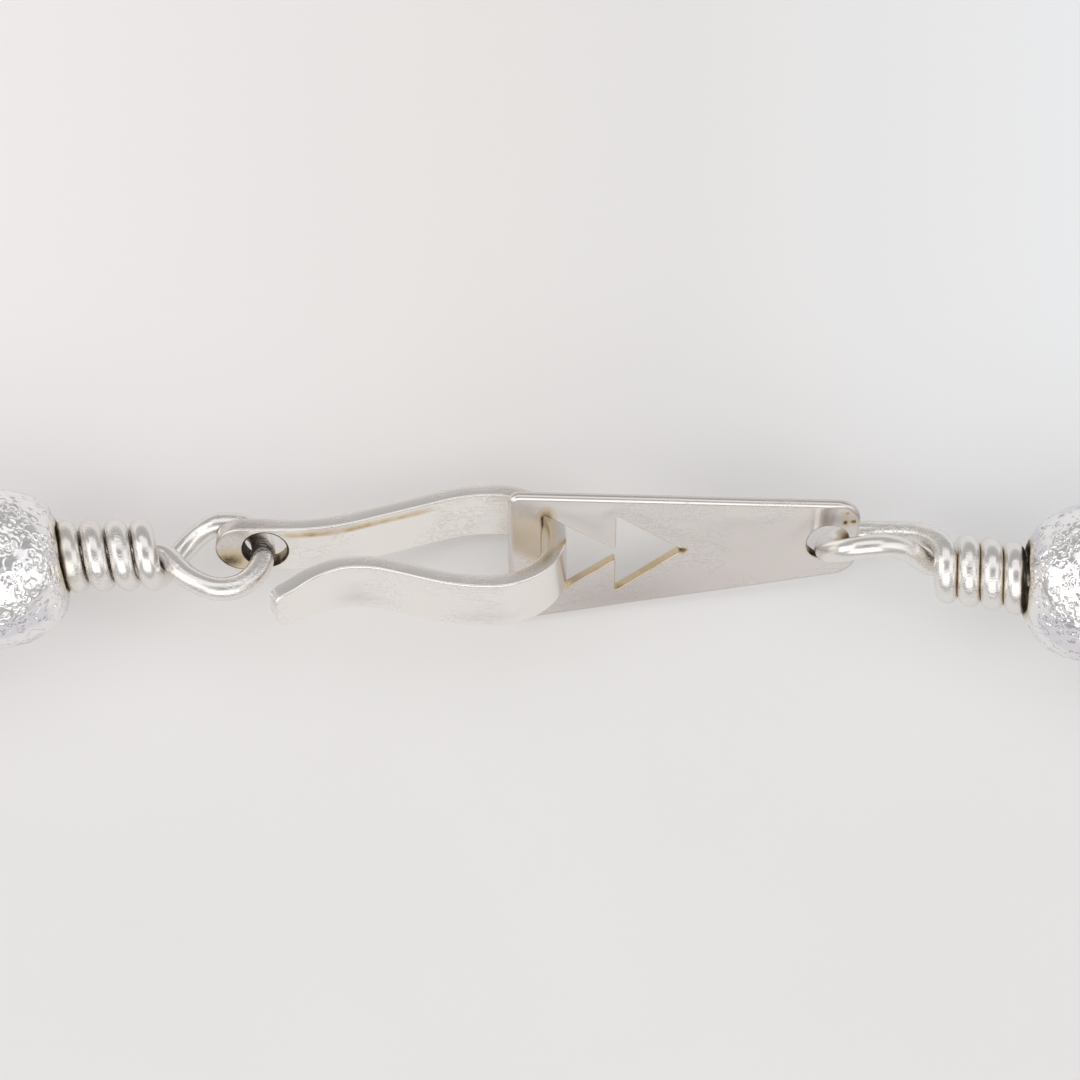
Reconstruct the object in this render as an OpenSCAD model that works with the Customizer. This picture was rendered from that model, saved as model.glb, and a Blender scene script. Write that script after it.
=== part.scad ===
// Silver bead necklace, lying in an open loop on a flat surface.
// Thirty-four hollow round beads on a fine silver chain, closed by a bent strap hook
// that catches a tapered plate. Each end has a wire link: an eye, a straight core
// that runs into the last bead, and wraps wound round the core.
// Millimetres. The clasp is at the back (+Y) and the loop comes toward the front (-Y).

/* [Beads] */
// Outer diameter of a bead
bead_d = 12; // [11.8:0.05:12.05]
// Thickness of a bead's wall
bead_wall = 0.6; // [0.4:0.1:1]
// Diameter of the hole through a bead
bead_hole_d = 3.6; // [3.5:0.1:4]
// Diameter of the opening where a wire link enters an end bead
link_hole_d = 5.9; // [5.9:0.1:6.4]
// Distance between the centres of two neighbouring beads
bead_pitch = 12.15; // [12.15:0.01:12.17]
// Turn of the loop at each of the eight beads nearest to the clasp, in degrees
near_turn = 12.06; // [12:0.01:12.06]

/* [Hook] */
// Width of the bent strap
strap_w = 4.2; // [3.8:0.1:4.4]
// Thickness of the bent strap
strap_t = 1.25; // [1:0.05:1.3]
// Width of the hook's tip
hook_tip_w = 3; // [2.4:0.1:3.6]
// Radius of the bend that goes round the crossbar, at the middle of the strap
bend_r = 4.95; // [4.85:0.05:5.05]
// Diameter of the hole in the hook's tongue
tongue_hole_d = 3.3; // [3:0.1:3.4]

/* [Catch plate] */
// Length of the catch plate
plate_l = 26.2; // [26:0.1:26.4]
// Width of the catch plate at its crossbar
plate_w = 12.9; // [12:0.1:13]
// Width of the catch plate at its eye
plate_eye_w = 6.9; // [6.6:0.1:7.4]
// Thickness of the catch plate
plate_t = 0.8; // [0.6:0.1:1]
// Width of the crossbar that the hook holds
crossbar_w = 2.45; // [2.2:0.05:2.5]
// Diameter of the eye in the catch plate
plate_eye_d = 3.4; // [3.2:0.1:3.5]

/* [Wire links] */
// Diameter of the wire
wire_d = 1.65; // [1.5:0.05:1.65]
// Width of the wire's eye, at the middle of the wire
eye_w = 6.2; // [6:0.1:6.4]
// Distance from one wrap to the next on the hook's side
left_wrap_pitch = 1.88; // [1.8:0.01:1.9]
// Distance from one wrap to the next on the catch plate's side
right_wrap_pitch = 1.72; // [1.7:0.01:1.74]

/* [Chain] */
// Diameter of the chain that carries the beads
chain_d = 1.6; // [1.2:0.1:1.6]

/* [Hidden] */
bead_count = 34;
side_count = bead_count / 2;
$fn = 64;
wire_sides = 10;
chain_sides = 8;
silver = "silver";

// The place of the loop's middle, seen from the clasp's middle
origin = [-0.045, -66.0, 0];

// The clasp's own frame: X along the clasp, Y away from its face, Z across the strap
clasp_lean = -36.7;
clasp_height = 5.34;

// The plate is turned a little in the hook, about a line through its crossbar
plate_start = -2.18;
plate_turn = 5.2;
plate_turn_x = -1;

// Pierced double triangle: [start, half-width at the start, end, half-width at the end]
pierced = [
    [plate_start + crossbar_w, 4.5, 5.85, 0.5],
    [5.85, 3.85, 10.8, 0.1]
];

// Corners of the plate's outline: [side of the plate, radius]
plate_corner_r = 0.8;
plate_eye_corner_r = 1.9;
plate_eye_x = 21.55;

// Bends of the strap from the tongue to the tip: [length, turn in degrees]
strap_start = [-24.2, 1.35];
strap_bends = [
    [5.4, 0],
    [5.6, 20],
    [6.4, 0],
    [4.0, -20],
    [PI * bend_r, -180],
    [4.6, -18],
    [3.2, 0],
    [7.3, 60],
    [2.4, -20]
];
bend_step = 6;
tongue_hole_x = -20.45;
taper_start = -14.5;
tip_x = -20.2;

// The loop: the first bead of each side, the heading beside it, and the loop's small turn
first_bead = [40.84, -1.6];
first_heading = 20;
near_gaps = 8;
half_turn = 160;
loop_middle_x = 0.655;
loop_slew = -0.74;

// Each link's straight axis runs from its eye's far end to its last wrap
left_bight = [-20.6, 0.55, 4.6];
left_wrap_end = [-35.3, -0.05, 5.65];
right_bight = [21.4, 1.3, 4.0];
right_wrap_end = [35.72, -1.75, 5.62];
eye_l = 7.2;

// Turn of an eye about that axis, and how much more it turns for each degree round the eye
left_eye_roll = 28;
left_eye_twist = 0;
right_eye_roll = -58;
right_eye_twist = 0.3;

// How far past the eye's length the straight core starts
left_core_run = 0.8;
right_core_run = 1.1;

// Turns of the wraps, counted from the eye's plane: where they start and where they end
left_wrap_turns = [150, 1395];
right_wrap_turns = [145, 1348];
core_reach = 2.6;
wrap_clear = 0.22;

// The way that the end beads' link openings face: [direction seen from above, tilt upward]
left_hole_way = [11, -3.7];
right_hole_way = [175.6, -3.5];

function bead_name(i) = str("bead_", i < 10 ? "0" : "", i);
function unit(v) = v / norm(v);
function last(list) = list[len(list) - 1];
function turned(v, angle) = [
    v.x * cos(angle) - v.y * sin(angle),
    v.x * sin(angle) + v.y * cos(angle)
];

// Heading of the gap after bead k of a side, in degrees from the line of the clasp
function gap_heading(k) =
    first_heading + near_turn * min(k, near_gaps)
    + (half_turn / near_gaps - near_turn) * max(0, k - near_gaps);

// Centre of bead k of the right side, seen from the loop's middle line
function side_point(k) = k == 0
    ? first_bead
    : side_point(k - 1) + bead_pitch * [cos(gap_heading(k - 1)), -sin(gap_heading(k - 1))];

// Centre of bead i, from 1 beside the hook round to the last beside the catch plate
function loop_point(i) = let (
        left = i <= side_count,
        p = side_point(left ? i - 1 : bead_count - i),
        q = turned([left ? -p.x : p.x, p.y], loop_slew)
    ) [q.x + loop_middle_x, q.y, bead_d / 2];

bead_places = [for (i = [1:bead_count]) loop_point(i)];

// The way that a bead's hole faces: [direction seen from above, tilt upward]
function hole_way(i) = i == 1 ? left_hole_way
    : i == bead_count ? right_hole_way
    : let (v = bead_places[i - 2] - bead_places[i]) [atan2(v.y, v.x), 0];

// Carries a point of the clasp's frame to its place
function leaned(p) = [
    p.x,
    p.y * cos(clasp_lean) - p.z * sin(clasp_lean),
    p.y * sin(clasp_lean) + p.z * cos(clasp_lean) + clasp_height
];

module clasp_place() {
    translate([0, 0, clasp_height] - origin)
        rotate([clasp_lean, 0, 0])
            children();
}

// Rows of [place, heading] along the strap's middle line
function strap_walk(row = 0, at = [strap_start, 0]) = row == len(strap_bends)
    ? [at]
    : let (
        length = strap_bends[row][0],
        turn = strap_bends[row][1],
        steps = max(1, ceil(abs(turn) / bend_step)),
        half = turn / steps / 2,
        chord = length / steps * (turn == 0 ? 1 : sin(half) / (half * PI / 180)),
        stops = [for (i = [0:steps - 1]) at[1] + turn * (i + 0.5) / steps],
        places = running_sum(at[0], [for (h = stops) chord * [cos(h), sin(h)]])
    ) concat(
        [for (i = [0:steps - 1]) [places[i], at[1] + turn * i / steps]],
        strap_walk(row + 1, [last(places), at[1] + turn])
    );

function running_sum(start, steps) = [
    for (i = 0, p = start; i <= len(steps); p = i < len(steps) ? p + steps[i] : p, i = i + 1) p
];

strap_line = strap_walk();

// The strap's edge at a given distance to the left of its middle line
function strap_edge(offset) = [
    for (row = strap_line) row[0] + offset * [-sin(row[1]), cos(row[1])]
];

function reversed(list) = [for (i = [len(list) - 1:-1:0]) list[i]];

module strap_side() {
    polygon(concat(strap_edge(strap_t / 2), reversed(strap_edge(-strap_t / 2))));
}

// The strap seen from its face: a round tongue, parallel edges and a tapered tip
module strap_face() {
    tongue_r = strap_w / 2;
    translate([strap_start.x + tongue_r, 0])
        circle(tongue_r);
    polygon([
        [strap_start.x + tongue_r, -tongue_r],
        [10, -tongue_r],
        [10, tongue_r],
        [strap_start.x + tongue_r, tongue_r]
    ]);
}

// What the taper takes off each edge of the front leaf
module tip_taper() {
    for (side = [-1, 1])
        linear_extrude(20, center = true)
            polygon([
                [taper_start, side * strap_w / 2],
                [taper_start, side * strap_w],
                [tip_x - 3, side * strap_w],
                [tip_x - 3, side * hook_tip_w / 2],
                [tip_x, side * hook_tip_w / 2]
            ]);
}

module hook() {
    color(silver)
        clasp_place()
            difference() {
                intersection() {
                    linear_extrude(strap_w, center = true)
                        strap_side();
                    rotate([90, 0, 0])
                        linear_extrude(20, center = true)
                            strap_face();
                }
                translate([tongue_hole_x, strap_start.y, 0])
                    rotate([90, 0, 0])
                        cylinder(h = 4 * strap_t, d = tongue_hole_d, center = true);
                translate([0, -10, 0])
                    rotate([90, 0, 0])
                        tip_taper();
            }
}

// A convex outline with round corners: rows of [corner, radius], anticlockwise
module rounded_outline(rows) {
    n = len(rows);
    arcs = [
        for (i = [0:n - 1])
            let (
                p = rows[i][0],
                r = rows[i][1],
                to_last = unit(rows[(i + n - 1) % n][0] - p),
                to_next = unit(rows[(i + 1) % n][0] - p),
                half = acos(to_last * to_next) / 2
            ) [p + to_last * r / tan(half), p + to_next * r / tan(half),
               p + unit(to_last + to_next) * r / sin(half), r]
    ];
    polygon([for (a = arcs) each [a[0], a[1]]]);
    for (a = arcs)
        translate(a[2])
            circle(a[3]);
}

module pierced_triangle(row) {
    polygon([
        [row[0], -row[1]],
        [row[2], -row[3]],
        [row[2], row[3]],
        [row[0], row[1]]
    ]);
}

module plate_face() {
    plate_end = plate_start + plate_l;
    difference() {
        rounded_outline([
            [[plate_start, -plate_w / 2], plate_corner_r],
            [[plate_end, -plate_eye_w / 2], plate_eye_corner_r],
            [[plate_end, plate_eye_w / 2], plate_eye_corner_r],
            [[plate_start, plate_w / 2], plate_corner_r]
        ]);
        for (row = pierced)
            pierced_triangle(row);
        translate([plate_eye_x, 0])
            circle(d = plate_eye_d);
    }
}

module catch_plate() {
    color(silver)
        clasp_place()
            translate([plate_turn_x, 0, 0])
                rotate([90, 0, plate_turn])
                    translate([-plate_turn_x, 0, -plate_t / 2])
                        linear_extrude(plate_t)
                            plate_face();
}

// Unit tangents of a path, and side vectors that are carried along it without twist
function tangents(path) = [
    for (i = [0:len(path) - 1])
        unit(path[min(i + 1, len(path) - 1)] - path[max(i - 1, 0)])
];
function squared(v, t) = unit(v - (v * t) * t);
function side_vectors(ways) = [
    for (i = 0, n = squared([0.1, 0.2, 1], ways[0]);
         i < len(ways);
         i = i + 1, n = i < len(ways) ? squared(n, ways[i]) : n) n
];

// A round bar of the given radius along a path, as a closed solid
module swept_bar(path, radius, sides) {
    ways = tangents(path);
    across = side_vectors(ways);
    rings = len(path);
    points = [
        for (i = [0:rings - 1], j = [0:sides - 1])
            let (angle = 360 * j / sides, up = cross(ways[i], across[i]))
                path[i] + radius * (cos(angle) * across[i] + sin(angle) * up)
    ];
    sides_faces = [
        for (i = [0:rings - 2], j = [0:sides - 1])
            let (
                a = i * sides + j,
                b = i * sides + (j + 1) % sides,
                c = a + sides,
                d = b + sides
            ) each [[a, c, b], [b, c, d]]
    ];
    first_cap = [for (j = [0:sides - 1]) j];
    last_cap = [for (j = [0:sides - 1]) rings * sides - 1 - j];
    polyhedron(points, concat(sides_faces, [first_cap, last_cap]), convexity = 8);
}

// The eye goes (1 + cos u) along the axis, and across it sin u times the root of sin(u/2).
// Its first half, which comes from the core, is a little wider than its second.
eye_lean = 0.4;
eye_widest = 0.862;
eye_start_u = 45;
eye_end_u = 265;
eye_steps = 22;
core_steps = 4;
blend_steps = 9;
blend_rate = 220;
wrap_step = 24;

function eye_along(u) = eye_l / 2 * (1 + cos(u));
function eye_across(u) =
    -(eye_w / 2 + eye_lean * sin(u)) / eye_widest * sin(u) * sqrt(abs(sin(u / 2)));

// A cubic from p to q that starts with the slope u and ends with the slope v
function hermite(p, u, q, v, s) =
    p * (2 * pow(s, 3) - 3 * pow(s, 2) + 1) + u * (pow(s, 3) - 2 * pow(s, 2) + s)
    + q * (3 * pow(s, 2) - 2 * pow(s, 3)) + v * (pow(s, 3) - pow(s, 2));

// The middle line of a link's wire: core, eye, blend and wraps, in that order.
// Each point is worked out as [along the axis, distance from it, angle round it].
function link_path(bight, wrap_end, roll, twist, core_run, pitch, turns) =
    let (
        to_bead = unit(wrap_end - bight),
        back = squared([0, 1, 0], to_bead),
        third = cross(to_bead, back),
        reach = norm(wrap_end - bight),
        wrap_r = wire_d + wrap_clear,
        place = function (p) bight + p[0] * to_bead
            + p[1] * (cos(roll + p[2]) * back + sin(roll + p[2]) * third),
        eye = function (u) [eye_along(u), eye_across(u), twist * (u - 180)],
        wrap = function (turn) [reach - pitch * (turns[1] - turn) / 360, wrap_r, turn],
        core_end = [eye_l + core_run, 0, twist * (eye_start_u - 180)],
        first = eye(eye_start_u),
        eye_in = eye(eye_start_u + 1) - first,
        last = eye(eye_end_u),
        eye_out = last - eye(eye_end_u - 1),
        pull_in = norm(first - core_end),
        pull_out = 0.8 * (wrap(turns[0])[0] - last[0])
    ) concat(
        [for (k = [0:core_steps - 1])
            place([reach + core_reach + (core_end[0] - reach - core_reach) * k / core_steps,
                   0, 0])],
        [for (k = [0:core_steps - 1])
            place(hermite(core_end, [-pull_in, 0, 0], first,
                          pull_in * eye_in / norm([eye_in[0], eye_in[1]]), k / core_steps))],
        [for (k = [0:eye_steps - 1])
            place(eye(eye_start_u + (eye_end_u - eye_start_u) * k / eye_steps))],
        [for (k = [0:blend_steps - 1])
            place(hermite(last, pull_out * eye_out / norm([eye_out[0], eye_out[1]]),
                          wrap(turns[0]), [pitch / 360, 0, 1] * blend_rate,
                          k / blend_steps))],
        [for (turn = [turns[0]:wrap_step:turns[1]]) place(wrap(turn))]
    );

left_path = link_path(left_bight, left_wrap_end, left_eye_roll, left_eye_twist,
                      left_core_run, left_wrap_pitch, left_wrap_turns);
right_path = link_path(right_bight, right_wrap_end, right_eye_roll, right_eye_twist,
                       right_core_run, right_wrap_pitch, right_wrap_turns);

module link_left() {
    color(silver)
        translate(-origin)
            swept_bar(left_path, wire_d / 2, wire_sides);
}

module link_right() {
    color(silver)
        translate(-origin)
            swept_bar(right_path, wire_d / 2, wire_sides);
}

// Middle of a bead's hole: on the side of the bead before it (1) or after it (-1)
function hole_middle(i, side) = let (
        way = hole_way(i),
        reach = sqrt(pow(bead_d, 2) - pow(bead_hole_d, 2)) / 2,
        across = cos(way[1]),
        along = [across * cos(way[0]), across * sin(way[0]), sin(way[1])]
    ) bead_places[i - 1] + (i == bead_count ? -side : side) * reach * along;

// The chain starts and ends just clear of the links' cores, and passes midway between
// the holes of each two neighbouring beads
chain_clear = 0.4;
chain_gaps = [
    for (i = [1:bead_count - 1]) (hole_middle(i, -1) + hole_middle(i + 1, 1)) / 2
];
chain_path = concat(
    [left_path[0] + chain_clear * unit(chain_gaps[0] - left_path[0])],
    chain_gaps,
    [right_path[0] + chain_clear * unit(last(chain_gaps) - right_path[0])]
);

module chain() {
    color(silver)
        translate(-origin)
            swept_bar(chain_path, chain_d / 2, chain_sides);
}

module bead(i) {
    way = hole_way(i);
    color(silver)
        translate(bead_places[i - 1] - origin)
            rotate([0, 90 - way[1], way[0]])
                difference() {
                    sphere(d = bead_d);
                    sphere(d = bead_d - 2 * bead_wall);
                    cylinder(h = 2 * bead_d, d = bead_hole_d, center = true);
                    if (i == 1 || i == bead_count)
                        cylinder(h = bead_d, d = link_hole_d);
                }
}

hook();
catch_plate();
link_left();
link_right();
chain();
for (i = [1:bead_count])
    bead(i);
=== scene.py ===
"""Silver bead necklace: the visible pieces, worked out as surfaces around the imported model.

Sizes are millimetres in the model's own frame until a mesh is made. The clasp is at the
back (+Y) and the loop of beads comes toward the front (-Y).
"""
import math

import bpy
import numpy as np
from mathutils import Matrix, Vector
from mathutils.geometry import delaunay_2d_cdt


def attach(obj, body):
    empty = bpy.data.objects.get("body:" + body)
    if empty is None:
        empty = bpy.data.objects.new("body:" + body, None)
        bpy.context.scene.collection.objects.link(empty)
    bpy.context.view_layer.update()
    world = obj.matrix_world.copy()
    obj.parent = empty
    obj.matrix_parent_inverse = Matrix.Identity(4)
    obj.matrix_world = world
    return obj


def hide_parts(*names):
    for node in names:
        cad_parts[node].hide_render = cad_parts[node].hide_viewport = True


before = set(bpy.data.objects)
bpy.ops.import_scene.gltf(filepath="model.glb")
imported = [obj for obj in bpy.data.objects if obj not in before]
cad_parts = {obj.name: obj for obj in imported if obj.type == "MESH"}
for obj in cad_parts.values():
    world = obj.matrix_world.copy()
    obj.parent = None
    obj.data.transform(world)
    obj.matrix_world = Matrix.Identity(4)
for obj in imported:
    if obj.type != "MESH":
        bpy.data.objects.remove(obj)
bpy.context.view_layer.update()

MM = 0.001
SHIFT = np.array([0.045, 66.0, 0.0])

BEAD_COUNT = 34
BEAD_R = 6.0
BEAD_WALL = 0.6
BEAD_PITCH = 12.15
HOLE_R = 1.8
NEAR_TURN = 12.06
NEAR_GAPS = 8
HALF_TURN = 160.0
FIRST_BEAD = (40.84, -1.6)
FIRST_HEADING = 20.0
LOOP_MIDDLE_X = 0.655
LOOP_SLEW = -0.74
LEFT_HOLE_WAY = (11.0, -3.7)
RIGHT_HOLE_WAY = (175.6, -3.5)

CLASP_LEAN = -36.7
CLASP_HEIGHT = 5.34

STRAP_W = 4.2
STRAP_T = 1.25
TIP_W = 3.0
BEND_R = 4.95
TONGUE_HOLE_R = 1.65
TONGUE_HOLE_S = 3.75
STRAP_START = (-24.2, 1.35)
# From the tongue's end to the tip: (length, turn in degrees)
STRAP_BENDS = [
    (5.4, 0),
    (5.6, 20),
    (6.4, 0),
    (4.0, -20),
    (math.pi * BEND_R, -180),
    (4.6, -18),
    (3.2, 0),
    (7.3, 60),
    (2.0, -20),
]
# The row of the bend round the crossbar
BEND_ROW = 4
TAPER_X = -14.5
# Radii of the outline's corners, then of the edges round the outline and the hole
TONGUE_R = STRAP_W / 2 - 0.001
HOOK_CORNERS = [TONGUE_R, 4.0, 1.1, 0.9, 4.0, TONGUE_R]
HOOK_EDGES = (0.14, 0.12)

PLATE_L = 26.5
PLATE_W = 12.9
PLATE_EYE_W = 6.9
PLATE_T = 0.8
PLATE_START = -2.18
PLATE_TURN = 5.2
PLATE_TURN_X = -1.0
PLATE_EYE_X = 21.95
PLATE_EYE_V = -0.12
PLATE_EYE_R = 1.6
PLATE_DISH = 0.05
PLATE_CORNERS = [0.8, 1.9, 1.9, 0.8]
PLATE_EDGES = (0.34, 0.08, 0.16)
# One side of the pierced double triangle, from the crossbar: (along, across)
PIERCED = [(0.27, 4.5), (5.85, 0.5), (5.85, 3.85), (10.8, 0.1)]
PIERCED_CORNERS = [0.22, 0.14, 0.14, 0.09, 0.09, 0.14, 0.14, 0.22]

# How finely the sheets are cut, and the low unevenness of their faces: (wave, depth)
SHEET_STEP = 0.3
PIERCED_STEP = 0.25
SUPPORT = 0.05
LEAST_AREA = 1e-9
FACE_DROP = 0.02
HOOK_WAVES = [(9.0, 0.016), (3.2, 0.004)]
HOOK_SEED = 11
PLATE_WAVES = [(11.0, 0.02), (3.6, 0.004)]
PLATE_SEED = 21

WIRE_R = 0.825
EYE_L = 7.2
EYE_W = 6.2
EYE_LEAN = 0.4
EYE_WIDEST = 0.862
EYE_TURNS = (45.0, 265.0)
WRAP_CLEAR = 0.22
# Degrees that the wraps run on, past where the link's turns end
WRAP_OVERRUN = 105.0
CORE_REACH = 2.6
BLEND_RATE = 220.0
WIRE_SIDES = 28
CORE_STEPS = 14
BEND_STEPS = 10
EYE_STEPS = 57
BLEND_STEPS = 24
WRAP_STEP = 7.5
# A bar's end is drawn in to this share of its radius, this far beyond its last ring
END_SHARE = 0.86
END_REACH = 0.12
# Each link's straight axis runs from its bight to the end of its wraps
LINKS = {
    "left": dict(bight=(-20.6, 0.55, 4.6), wrap_end=(-35.3, -0.05, 5.65), roll=28.0,
                 twist=0.0, core_run=0.8, pitch=1.88, turns=(150.0, 1395.0)),
    "right": dict(bight=(21.75, 0.9, 4.0), wrap_end=(36.12, -1.75, 5.62), roll=-65.0,
                  twist=0.3, core_run=1.1, pitch=1.72, turns=(145.0, 1348.0)),
}
# How much thicker the visible wires are than the solids' wires
SWELL = {"left": 0.055, "right": 0.03}
LINK_SEEDS = {"left": 31, "right": 32}
# Points of one wire that lie closer than this along it count as one strand
OWN_REACH = 3.5

CHAIN_R = 0.8
CHAIN_CLEAR = 0.4
CHAIN_STEP = 0.42
CHAIN_SIDES = 14
CHAIN_SCREW = 1.7


# Geometry helpers

def unit(v):
    """Vectors of length one along the last axis."""
    v = np.asarray(v, float)
    return v / np.linalg.norm(v, axis=-1, keepdims=True)


def way(azimuth, tilt):
    """The direction at an azimuth seen from above and a tilt upward, in degrees."""
    a, t = math.radians(azimuth), math.radians(tilt)
    return np.array([math.cos(t) * math.cos(a), math.cos(t) * math.sin(a), math.sin(t)])


def smooth(x, low, high):
    """0 below low and 1 above high, with the cubic 3t^2 - 2t^3 between them."""
    t = np.clip((x - low) / (high - low), 0, 1)
    return t * t * (3 - 2 * t)


def bell(x, reach):
    """1 at x = 0, falling off on both sides as exp(-(x / reach)^2)."""
    return np.exp(-(x / reach) ** 2)


def length_along(path):
    """The distance along a path at each of its points."""
    return np.concatenate([[0], np.cumsum(np.linalg.norm(np.diff(path, axis=0), axis=1))])


def grid_faces(rows, columns, wrap_rows=False, wrap_columns=False):
    """Quads between neighbouring rows and columns of a grid; a wrapped way closes on itself."""
    r, c = np.meshgrid(np.arange(rows - (not wrap_rows)),
                       np.arange(columns - (not wrap_columns)), indexing="ij")
    up, side = (r + 1) % rows, (c + 1) % columns
    corners = [r * columns + c, r * columns + side, up * columns + side, up * columns + c]
    return np.stack(corners, -1).reshape(-1, 4)


def leaned(p):
    """Carries points of the clasp's own frame to their place: turned about X, then raised."""
    a = math.radians(CLASP_LEAN)
    x, y, z = p[..., 0], p[..., 1], p[..., 2]
    turned = [x, y * math.cos(a) - z * math.sin(a),
              y * math.sin(a) + z * math.cos(a) + CLASP_HEIGHT]
    return np.stack(turned, -1) + SHIFT


def make_piece(name, points, quads, triangles, node, material, shades):
    """A smooth closed mesh that stands for one CAD node.

    points are millimetres; shades are named numbers kept at the vertices. The faces are
    turned round if the volume they enclose comes out negative.
    """
    corners = points[np.concatenate([quads[:, [0, 1, 2]], quads[:, [0, 2, 3]], triangles])]
    volume = np.einsum("ij,ij->", corners[:, 0], np.cross(corners[:, 1], corners[:, 2])) / 6
    if volume < 0:
        quads, triangles = quads[:, ::-1], triangles[:, ::-1]
    mesh = bpy.data.meshes.new(name)
    loops = np.concatenate([quads.ravel(), triangles.ravel()]).astype(np.int32)
    starts = np.concatenate([np.arange(len(quads)) * 4,
                             len(quads) * 4 + np.arange(len(triangles)) * 3])
    mesh.vertices.add(len(points))
    mesh.vertices.foreach_set("co", (points * MM).astype(np.float32).ravel())
    mesh.loops.add(len(loops))
    mesh.loops.foreach_set("vertex_index", loops)
    mesh.polygons.add(len(starts))
    mesh.polygons.foreach_set("loop_start", starts.astype(np.int32))
    mesh.update(calc_edges=True)
    mesh.shade_smooth()
    for shade, values in shades.items():
        layer = mesh.attributes.new(shade, "FLOAT", "POINT")
        layer.data.foreach_set("value", np.asarray(values, np.float32))
    mesh.materials.append(material)
    piece = bpy.data.objects.new(name, mesh)
    bpy.context.collection.objects.link(piece)
    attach(piece, "root")
    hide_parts(node)


def nearest(points, others, chunk=2000):
    """The distance from each point to the nearest of the others."""
    found = [
        np.sqrt(((points[i:i + chunk, None] - others[None]) ** 2).sum(-1).min(1))
        for i in range(0, len(points), chunk)
    ]
    return np.concatenate(found)


# Material helpers

def place_node(tree, kind, feeds=None, **settings):
    """Adds a node, sets it up, and feeds its inputs with values or with other sockets."""
    made = tree.nodes.new(kind)
    for setting, value in settings.items():
        setattr(made, setting, value)
    for socket, value in (feeds or {}).items():
        if isinstance(value, bpy.types.NodeSocket):
            tree.links.new(value, made.inputs[socket])
        else:
            made.inputs[socket].default_value = value
    return made


def calc(tree, operation, a, b=0.0, clamp=False):
    """The output of one Math node."""
    return place_node(tree, "ShaderNodeMath", {0: a, 1: b}, operation=operation,
                      use_clamp=clamp).outputs[0]


def mix_colour(tree, factor, a, b):
    """The colour between a and b."""
    made = place_node(tree, "ShaderNodeMix", {0: factor, 6: a, 7: b}, data_type="RGBA")
    return made.outputs[2]


def remap(tree, value, low, high, to_low=0.0, to_high=1.0):
    """The value carried from one range to another and held inside it."""
    feeds = {0: value, 1: low, 2: high, 3: to_low, 4: to_high}
    return place_node(tree, "ShaderNodeMapRange", feeds).outputs[0]


def crossings(tree, value, reach, middle=0.5):
    """1 where the value passes its middle, falling to 0 at the reach on either side."""
    away = calc(tree, "ABSOLUTE", calc(tree, "SUBTRACT", value, middle))
    return remap(tree, away, 0.0, reach, 1.0, 0.0)


def colour_ramp(tree, value, stops):
    """A colour ramp through the given (position, colour) stops."""
    made = place_node(tree, "ShaderNodeValToRGB", {0: value})
    elements = made.color_ramp.elements
    elements[0].position, elements[0].color = stops[0][0], (*stops[0][1], 1)
    elements[1].position, elements[1].color = stops[-1][0], (*stops[-1][1], 1)
    for position, colour in stops[1:-1]:
        elements.new(position).color = (*colour, 1)
    return made.outputs[0]


def own_place(tree):
    """The place on the piece, in its object coordinates."""
    return place_node(tree, "ShaderNodeTexCoord").outputs["Object"]


def noise(tree, scale, detail, roughness=0.5, distortion=0.0, place=None):
    """The value of a noise at a place, which is the piece's own unless one is given."""
    feeds = {"Vector": place or own_place(tree), "Scale": scale, "Detail": detail,
             "Roughness": roughness, "Distortion": distortion}
    return place_node(tree, "ShaderNodeTexNoise", feeds).outputs[0]


def cells(tree, scale):
    """Distance from the middle of the nearest cell, and three random numbers of that cell."""
    feeds = {"Vector": own_place(tree), "Scale": scale, "Randomness": 1.0}
    found = place_node(tree, "ShaderNodeTexVoronoi", feeds).outputs
    return found["Distance"], place_node(tree, "ShaderNodeSeparateColor",
                                         {0: found["Color"]}).outputs


def new_group(name, inputs, outputs):
    """A shader node group with the given sockets: rows of (name, kind, default)."""
    tree = bpy.data.node_groups.new(name, "ShaderNodeTree")
    for socket_name, kind, default in inputs:
        socket = tree.interface.new_socket(socket_name, in_out="INPUT", socket_type=kind)
        socket.default_value = default
    for socket_name, kind in outputs:
        tree.interface.new_socket(socket_name, in_out="OUTPUT", socket_type=kind)
    return tree, tree.nodes.new("NodeGroupInput"), tree.nodes.new("NodeGroupOutput")


NUMBER = "NodeSocketFloat"
COLOUR = "NodeSocketColor"

# What a full film and a full scratch add to the roughness, and the relief's depth
FILM_ROUGHNESS = 0.35
SCRATCH_ROUGHNESS = 0.25
RELIEF_DEPTH = 0.03


def tarnish_group():
    """Bare silver that turns golden and then brown-black as the shade rises, a film of tarnish and
    of painted shade.

    The shade is broken up by a noise, so a film has an uneven edge.
    """
    tree, given, out = new_group(
        "tarnish_film",
        [("Shade", NUMBER, 0.0), ("Grain", NUMBER, 900.0), ("Silver", COLOUR, (0.9, 0.9, 0.9, 1)),
         ("Thin", COLOUR, (0.8, 0.6, 0.3, 1)), ("Thick", COLOUR, (0.1, 0.07, 0.05, 1))],
        [("Color", COLOUR), ("Mask", NUMBER)],
    )
    grain = noise(tree, given.outputs["Grain"], 4.0, 0.6)
    broken = remap(tree, grain, 0.3, 0.7, 0.55, 1.45)
    shade = calc(tree, "MULTIPLY", given.outputs["Shade"], broken, clamp=True)
    thin = remap(tree, shade, 0.03, 0.4)
    thick = remap(tree, shade, 0.35, 0.9)
    film = mix_colour(tree, thin, given.outputs["Silver"], given.outputs["Thin"])
    film = mix_colour(tree, thick, film, given.outputs["Thick"])
    tree.links.new(film, out.inputs["Color"])
    tree.links.new(shade, out.inputs["Mask"])
    return tree


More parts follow.
